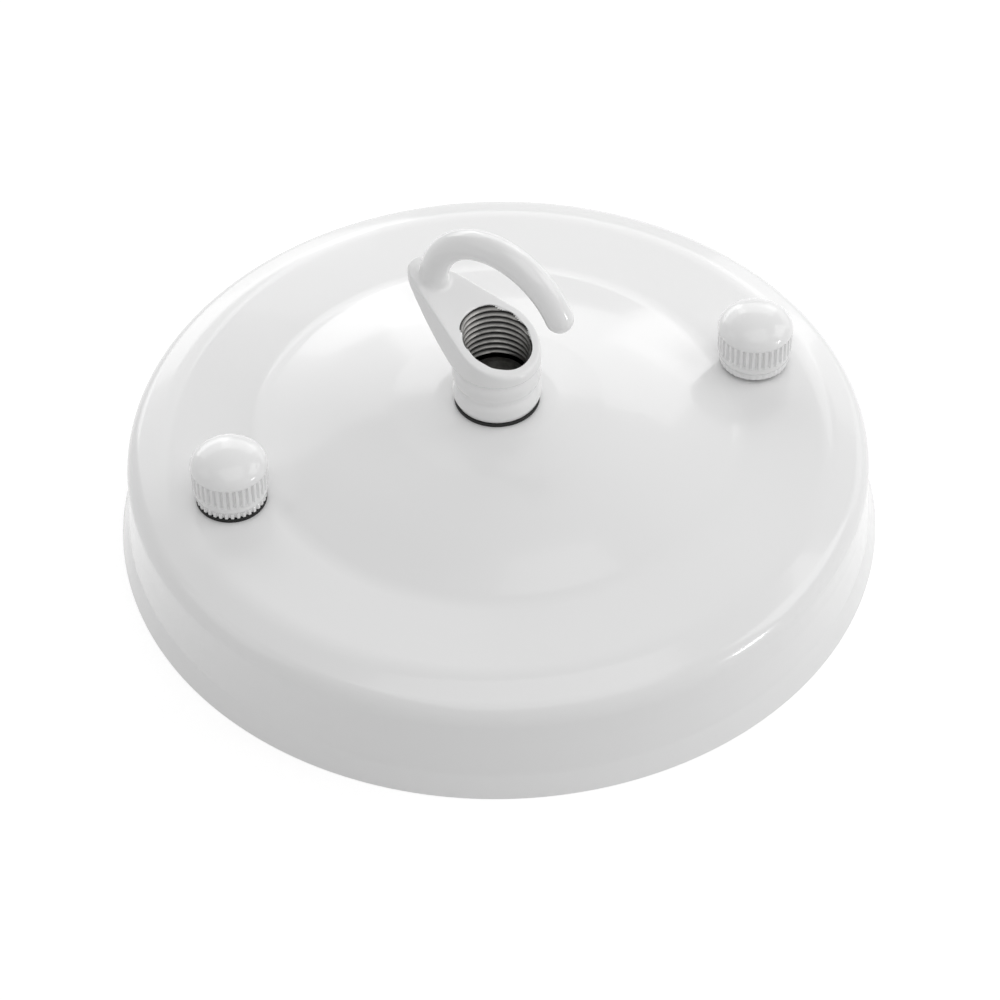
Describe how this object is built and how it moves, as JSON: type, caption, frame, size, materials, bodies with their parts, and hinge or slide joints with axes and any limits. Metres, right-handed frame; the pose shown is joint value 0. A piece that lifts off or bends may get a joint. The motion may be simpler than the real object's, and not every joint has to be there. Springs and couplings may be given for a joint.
{
  "type": "light fixture ceiling canopy",
  "caption": "Round pressed-steel ceiling canopy with a domed top, a threaded cable hook on its centre, domed thumb nuts and a slotted mounting strap inside.",
  "frame": {"origin": "centre of the cover's rim, on the ceiling plane", "axes": "+Z out of the ceiling through the hook, +X along the line through the two thumb nuts"},
  "size_m": [0.108, 0.108, 0.0515],
  "materials": {
    "white_enamel": "gloss white stoving enamel",
    "white_enamel_casting": "gloss white enamel on zinc casting",
    "zinc_plate": "bright zinc plate",
    "bare_steel": "cut thread, dull grey",
    "black_fibre": "matt vulcanised fibre",
    "brass": "turned brass"
  },
  "bodies": {
    "canopy": {"canopy_cover": "white_enamel", "cable_hook": "white_enamel_casting", "hook_washer": "black_fibre", "hook_nipple": "bare_steel", "nipple_washer": "zinc_plate", "nipple_locknut": "zinc_plate", "mounting_strap": "zinc_plate", "left_stud": "zinc_plate", "right_stud": "zinc_plate", "left_spring_washer": "zinc_plate", "right_spring_washer": "zinc_plate", "left_stud_nut": "zinc_plate", "right_stud_nut": "zinc_plate", "left_nut_washer": "black_fibre", "right_nut_washer": "black_fibre", "earth_screw": "brass", "earth_washer": "brass"},
    "left_nut": {"left_thumb_nut": "white_enamel_casting"},
    "right_nut": {"right_thumb_nut": "white_enamel_casting"}
  },
  "joints": [
    {"name": "left_thumb_nut_turn", "type": "hinge", "parent": "canopy", "child": "left_nut", "pos_m": [-0.039, 0, 0.0172], "axis": [0, 0, 1], "continuous": true},
    {"name": "right_thumb_nut_turn", "type": "hinge", "parent": "canopy", "child": "right_nut", "pos_m": [0.039, 0, 0.0172], "axis": [0, 0, 1], "continuous": true}
  ]
}
